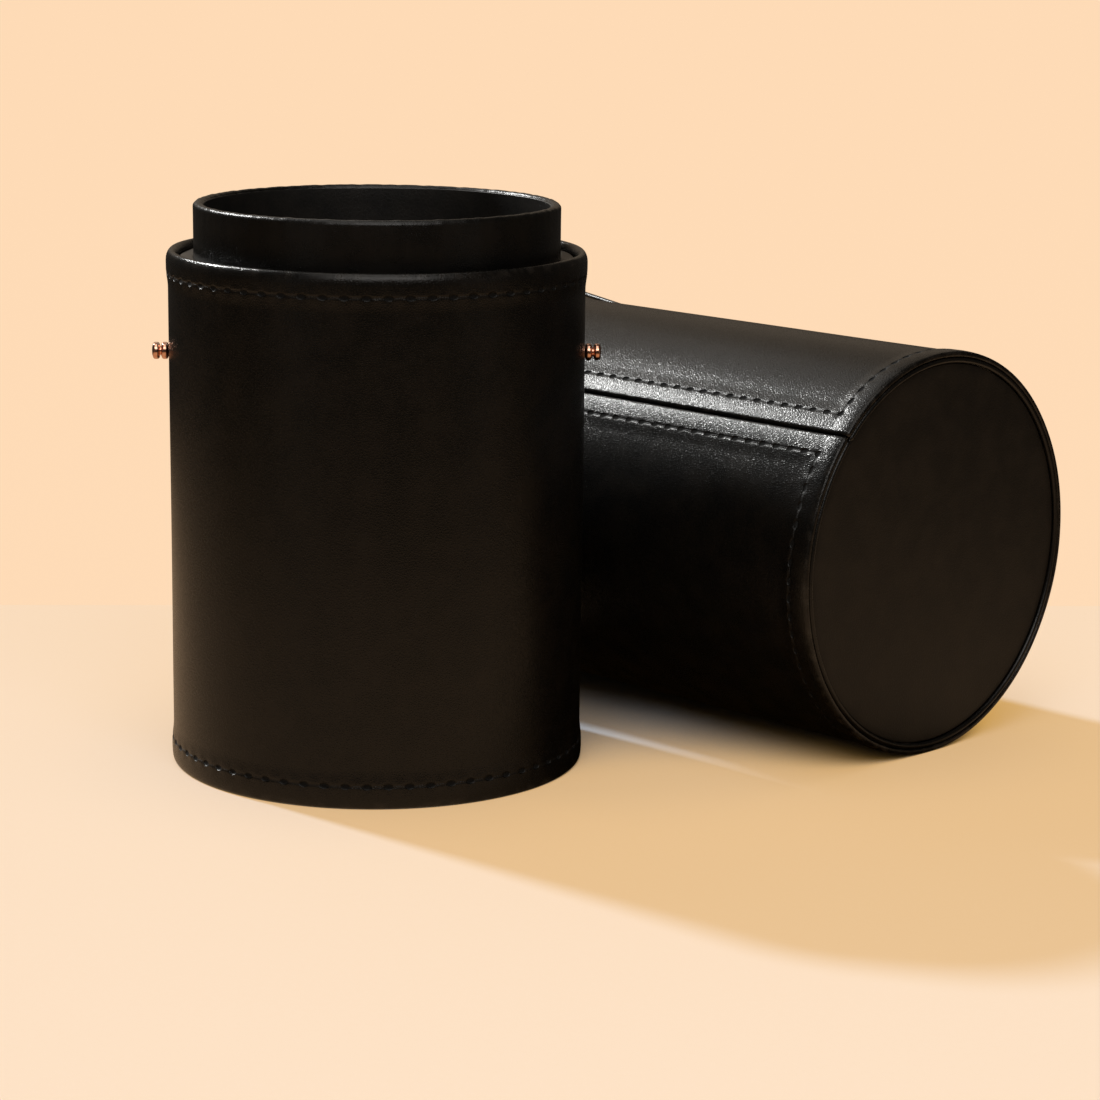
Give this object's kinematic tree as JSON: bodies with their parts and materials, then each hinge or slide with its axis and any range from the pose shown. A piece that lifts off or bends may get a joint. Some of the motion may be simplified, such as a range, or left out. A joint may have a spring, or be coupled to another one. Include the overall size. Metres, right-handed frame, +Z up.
{
  "type": "leather dice cup",
  "caption": "Round black leather cup with a raised neck and side studs, and a matching cap with buttonhole straps lying beside it.",
  "frame": {"origin": "centre of the cup's underside, on the surface it stands on", "axes": "+Z up along the cup's axis, the two studs on the X axis, the cup's seam at +Y and its plain front at -Y"},
  "size_m": [0.2066, 0.1853, 0.1226],
  "materials": {
    "black_leather": "fine grained, semi-gloss",
    "neck_leather": "smooth, semi-gloss",
    "smooth_lining": "smooth, semi-gloss",
    "grey_board": "matt rolled board",
    "foam": "matt foam sheet",
    "thread": "waxed thread",
    "rose_gold": "polished, rose-gold plated"
  },
  "bodies": {
    "cup": {"cup_wrap": "black_leather", "cup_tube": "grey_board", "cup_padding": "foam", "cup_ledge_ring": "smooth_lining", "neck_tube": "grey_board", "neck_leather": "neck_leather", "cup_lining": "smooth_lining", "cup_floor_lining": "smooth_lining", "foot_board": "grey_board", "foot_disc": "black_leather", "foot_welt": "black_leather", "rim_stitching": "thread", "foot_stitching": "thread", "cup_seam_stitching": "thread", "stud_left": "rose_gold", "stud_right": "rose_gold", "stud_washer_left": "rose_gold", "stud_washer_right": "rose_gold"},
    "cap": {"cap_wrap": "black_leather", "cap_tube": "grey_board", "cap_padding": "foam", "cap_lining": "smooth_lining", "cap_ceiling_lining": "smooth_lining", "cap_end_board": "grey_board", "cap_end_disc": "black_leather", "cap_end_welt": "black_leather", "cap_mouth_stitching": "thread", "cap_end_stitching": "thread", "cap_seam_stitching": "thread", "strap_root_left": "black_leather", "strap_root_right": "black_leather", "strap_stitching_left": "thread", "strap_stitching_right": "thread"},
    "strap_left": {"strap_left": "black_leather"},
    "strap_right": {"strap_right": "black_leather"}
  },
  "joints": [
    {"name": "cap_lift", "type": "slide", "parent": "cup", "child": "cap", "axis": [0, 0, 1], "range_m": [0, 0.13]},
    {"name": "strap_left_flex", "type": "hinge", "parent": "cap", "child": "strap_left", "pos_m": [0.02936, 0.05749, 0.01116], "axis": [-0.5513, -0.4895, 0.6756], "range_deg": [-8, 47], "stiffness_Nm_per_rad": 0.01},
    {"name": "strap_right_flex", "type": "hinge", "parent": "cap", "child": "strap_right", "pos_m": [0.07614, 0.09902, 0.07944], "axis": [0.5513, 0.4895, -0.6756], "range_deg": [-8, 47], "stiffness_Nm_per_rad": 0.01}
  ]
}
